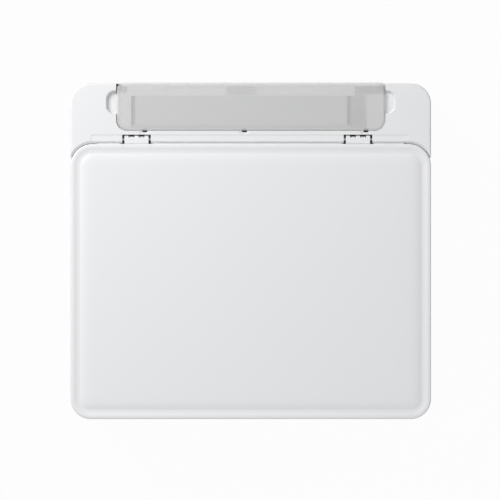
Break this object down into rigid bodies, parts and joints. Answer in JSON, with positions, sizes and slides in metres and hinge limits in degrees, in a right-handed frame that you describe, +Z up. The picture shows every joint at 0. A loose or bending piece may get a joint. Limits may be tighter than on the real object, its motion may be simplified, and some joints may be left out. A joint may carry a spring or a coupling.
{
  "type": "inkjet multifunction printer",
  "caption": "Flat-topped desktop inkjet printer with a scanner lid, rear paper tray cover, tilting panel, paper cassette and output tray.",
  "frame": {"origin": "on the floor under the middle of the printer's outer box", "axes": "+Z up, +Y towards the rear tray, +X to the right seen from the front"},
  "size_m": [0.376, 0.351, 0.143],
  "materials": {
    "belt_black": "toothed belt",
    "board_green": "printed circuit board",
    "button_grey": "matte pale grey",
    "cartridge_black": "black ink cartridge",
    "cartridge_colour": "colour ink cartridge",
    "case_white": "fine satin white moulding",
    "clear_glass": "clear float glass",
    "cover_white": "satin white moulding",
    "feet_rubber": "grey rubber",
    "gear_white": "natural gear plastic",
    "inner_grey": "matte light grey moulding",
    "mechanism_black": "matte black moulding",
    "pad_foam": "white pressing foam",
    "panel_black": "gloss black face",
    "roller_rubber": "dark rubber on a shaft",
    "smoked_clear": "see-through smoked grey plastic",
    "socket_metal": "plated shell",
    "steel": "plain steel",
    "tray_white": "matte white moulding"
  },
  "bodies": {
    "base": {"bottom_case": "case_white", "rubber_feet": "feet_rubber", "main_case": "case_white", "rear_housing": "case_white", "hinge_pins": "steel", "rear_tray": "tray_white", "side_frames": "mechanism_black", "carriage_rail": "steel", "carriage_belt": "belt_black", "carriage_motor": "steel", "feed_motor": "steel", "platen": "mechanism_black", "purge_unit": "mechanism_black", "power_supply": "mechanism_black", "main_board": "board_green", "usb_port": "socket_metal", "power_inlet": "mechanism_black"},
    "scanner_unit": {"scanner_housing": "case_white", "scanner_bezel": "cover_white", "platen_glass": "clear_glass", "scan_rod": "steel"},
    "image_sensor": {"image_sensor": "mechanism_black"},
    "document_cover": {"document_cover": "cover_white", "cover_liner": "cover_white", "cover_pad": "pad_foam", "cover_hinges": "cover_white"},
    "rear_tray_cover": {"rear_tray_cover": "smoked_clear", "tray_cover_bar": "tray_white"},
    "paper_support": {"paper_support": "smoked_clear"},
    "feed_slot_cover": {"feed_slot_cover": "inner_grey"},
    "paper_guide_left": {"paper_guide_left": "inner_grey"},
    "paper_guide_right": {"paper_guide_right": "inner_grey"},
    "paper_guide_pinion": {"paper_guide_pinion": "gear_white"},
    "rear_access_cover": {"rear_access_cover": "case_white"},
    "cassette": {"cassette_tray": "case_white"},
    "cassette_guide_left": {"cassette_guide_left": "inner_grey"},
    "cassette_guide_right": {"cassette_guide_right": "inner_grey"},
    "cassette_pinion": {"cassette_pinion": "gear_white"},
    "output_tray": {"output_tray": "case_white"},
    "output_extension": {"output_extension": "inner_grey"},
    "control_panel": {"control_panel": "case_white", "display_window": "panel_black"},
    "feed_roller": {"feed_roller": "steel", "feed_gear": "gear_white"},
    "idler_gear": {"idler_gear": "gear_white"},
    "eject_roller": {"eject_roller": "roller_rubber"},
    "motor_pinion": {"motor_pinion": "gear_white"},
    "pickup_roller": {"pickup_roller": "roller_rubber"},
    "carriage": {"carriage": "mechanism_black", "cartridge_black": "cartridge_black", "cartridge_colour": "cartridge_colour"},
    "lock_lever_black": {"lock_lever_black": "inner_grey"},
    "lock_lever_colour": {"lock_lever_colour": "inner_grey"},
    "motor_pulley": {"motor_pulley": "gear_white"},
    "idler_pulley": {"idler_pulley": "gear_white"},
    "power_button": {"power_button": "button_grey"},
    "menu_button": {"menu_button": "button_grey"},
    "ok_button": {"ok_button": "button_grey"},
    "stop_button": {"stop_button": "button_grey"},
    "start_button": {"start_button": "button_grey"}
  },
  "joints": [
    {"name": "scanner_unit_hinge", "type": "hinge", "parent": "base", "child": "scanner_unit", "pos_m": [0, 0.1163, 0.1355], "axis": [1, 0, 0], "range_deg": [-35, 0]},
    {"name": "document_cover_hinge", "type": "hinge", "parent": "scanner_unit", "child": "document_cover", "pos_m": [0, 0.1163, 0.1355], "axis": [-1, 0, 0], "range_deg": [0, 90]},
    {"name": "image_sensor_slide", "type": "slide", "parent": "scanner_unit", "child": "image_sensor", "axis": [1, 0, 0], "range_m": [0, 0.28]},
    {"name": "rear_tray_cover_hinge", "type": "hinge", "parent": "base", "child": "rear_tray_cover", "pos_m": [0, 0.1705, 0.134], "axis": [-1, 0, 0], "range_deg": [0, 115]},
    {"name": "paper_support_slide", "type": "slide", "parent": "rear_tray_cover", "child": "paper_support", "axis": [0, -1, 0], "range_m": [0, 0.022]},
    {"name": "feed_slot_cover_hinge", "type": "hinge", "parent": "base", "child": "feed_slot_cover", "pos_m": [0, 0.1298, 0.1312], "axis": [1, 0, 0], "range_deg": [0, 88]},
    {"name": "paper_guide_left_slide", "type": "slide", "parent": "base", "child": "paper_guide_left", "axis": [1, 0, 0], "range_m": [0, 0.05]},
    {"name": "paper_guide_right_slide", "type": "slide", "parent": "base", "child": "paper_guide_right", "axis": [-1, 0, 0], "range_m": [0, 0.05]},
    {"name": "paper_guide_pinion_spin", "type": "hinge", "parent": "base", "child": "paper_guide_pinion", "pos_m": [-0.01, 0.15167, 0.10663], "axis": [0, -0.866, 0.5], "continuous": true},
    {"name": "rear_access_cover_hinge", "type": "hinge", "parent": "base", "child": "rear_access_cover", "pos_m": [0, 0.1715, 0.038], "axis": [-1, 0, 0], "range_deg": [0, 60]},
    {"name": "cassette_slide", "type": "slide", "parent": "base", "child": "cassette", "axis": [0, -1, 0], "range_m": [0, 0.2]},
    {"name": "cassette_guide_left_slide", "type": "slide", "parent": "cassette", "child": "cassette_guide_left", "axis": [1, 0, 0], "range_m": [0, 0.05]},
    {"name": "cassette_guide_right_slide", "type": "slide", "parent": "cassette", "child": "cassette_guide_right", "axis": [-1, 0, 0], "range_m": [0, 0.05]},
    {"name": "cassette_pinion_spin", "type": "hinge", "parent": "cassette", "child": "cassette_pinion", "pos_m": [0, -0.02, 0.0102], "axis": [0, 0, 1], "continuous": true},
    {"name": "output_tray_slide", "type": "slide", "parent": "base", "child": "output_tray", "axis": [0, -1, 0], "range_m": [0, 0.14]},
    {"name": "output_extension_slide", "type": "slide", "parent": "output_tray", "child": "output_extension", "axis": [0, -1, 0], "range_m": [0, 0.1]},
    {"name": "control_panel_hinge", "type": "hinge", "parent": "base", "child": "control_panel", "pos_m": [0, -0.1715, 0.093], "axis": [-1, 0, 0], "range_deg": [0, 45]},
    {"name": "feed_roller_spin", "type": "hinge", "parent": "base", "child": "feed_roller", "pos_m": [0, 0.104, 0.05], "axis": [1, 0, 0], "continuous": true},
    {"name": "idler_gear_spin", "type": "hinge", "parent": "base", "child": "idler_gear", "pos_m": [0, 0.074, 0.05], "axis": [1, 0, 0], "continuous": true},
    {"name": "eject_roller_spin", "type": "hinge", "parent": "base", "child": "eject_roller", "pos_m": [0, 0.044, 0.05], "axis": [1, 0, 0], "continuous": true},
    {"name": "motor_pinion_spin", "type": "hinge", "parent": "base", "child": "motor_pinion", "pos_m": [0, 0.12345, 0.03055], "axis": [1, 0, 0], "continuous": true},
    {"name": "pickup_roller_spin", "type": "hinge", "parent": "base", "child": "pickup_roller", "pos_m": [0, 0.11976, 0.08117], "axis": [1, 0, 0], "continuous": true},
    {"name": "carriage_slide", "type": "slide", "parent": "base", "child": "carriage", "axis": [-1, 0, 0], "range_m": [0, 0.19]},
    {"name": "lock_lever_black_hinge", "type": "hinge", "parent": "carriage", "child": "lock_lever_black", "pos_m": [0.084, 0.0515, 0.078], "axis": [1, 0, 0], "range_deg": [0, 30]},
    {"name": "lock_lever_colour_hinge", "type": "hinge", "parent": "carriage", "child": "lock_lever_colour", "pos_m": [0.126, 0.0515, 0.078], "axis": [1, 0, 0], "range_deg": [0, 30]},
    {"name": "motor_pulley_spin", "type": "hinge", "parent": "base", "child": "motor_pulley", "pos_m": [-0.1455, 0.102, 0.087], "axis": [0, 1, 0], "continuous": true},
    {"name": "idler_pulley_spin", "type": "hinge", "parent": "base", "child": "idler_pulley", "pos_m": [0.1455, 0.102, 0.087], "axis": [0, 1, 0], "continuous": true},
    {"name": "power_button_press", "type": "slide", "parent": "control_panel", "child": "power_button", "axis": [0, 1, 0], "range_m": [0, 0.0008], "stiffness_N_per_m": 1000},
    {"name": "menu_button_press", "type": "slide", "parent": "control_panel", "child": "menu_button", "axis": [0, 1, 0], "range_m": [0, 0.0008], "stiffness_N_per_m": 1000},
    {"name": "ok_button_press", "type": "slide", "parent": "control_panel", "child": "ok_button", "axis": [0, 1, 0], "range_m": [0, 0.0008], "stiffness_N_per_m": 1000},
    {"name": "stop_button_press", "type": "slide", "parent": "control_panel", "child": "stop_button", "axis": [0, 1, 0], "range_m": [0, 0.0008], "stiffness_N_per_m": 1000},
    {"name": "start_button_press", "type": "slide", "parent": "control_panel", "child": "start_button", "axis": [0, 1, 0], "range_m": [0, 0.0008], "stiffness_N_per_m": 1000}
  ],
  "couplings": [
    {"joint": "paper_support_slide", "follows": "rear_tray_cover_hinge", "m_per_rad": 0.01096},
    {"joint": "feed_slot_cover_hinge", "follows": "rear_tray_cover_hinge", "ratio": 0.765},
    {"joint": "paper_guide_right_slide", "follows": "paper_guide_left_slide", "ratio": 1},
    {"joint": "paper_guide_pinion_spin", "follows": "paper_guide_left_slide", "rad_per_m": -111.11},
    {"joint": "cassette_guide_right_slide", "follows": "cassette_guide_left_slide", "ratio": 1},
    {"joint": "cassette_pinion_spin", "follows": "cassette_guide_left_slide", "rad_per_m": -111.11},
    {"joint": "idler_gear_spin", "follows": "feed_roller_spin", "ratio": -2},
    {"joint": "eject_roller_spin", "follows": "feed_roller_spin", "ratio": 1},
    {"joint": "motor_pinion_spin", "follows": "feed_roller_spin", "ratio": -2.6667},
    {"joint": "motor_pulley_spin", "follows": "carriage_slide", "rad_per_m": 186.92},
    {"joint": "idler_pulley_spin", "follows": "carriage_slide", "rad_per_m": 186.92}
  ]
}
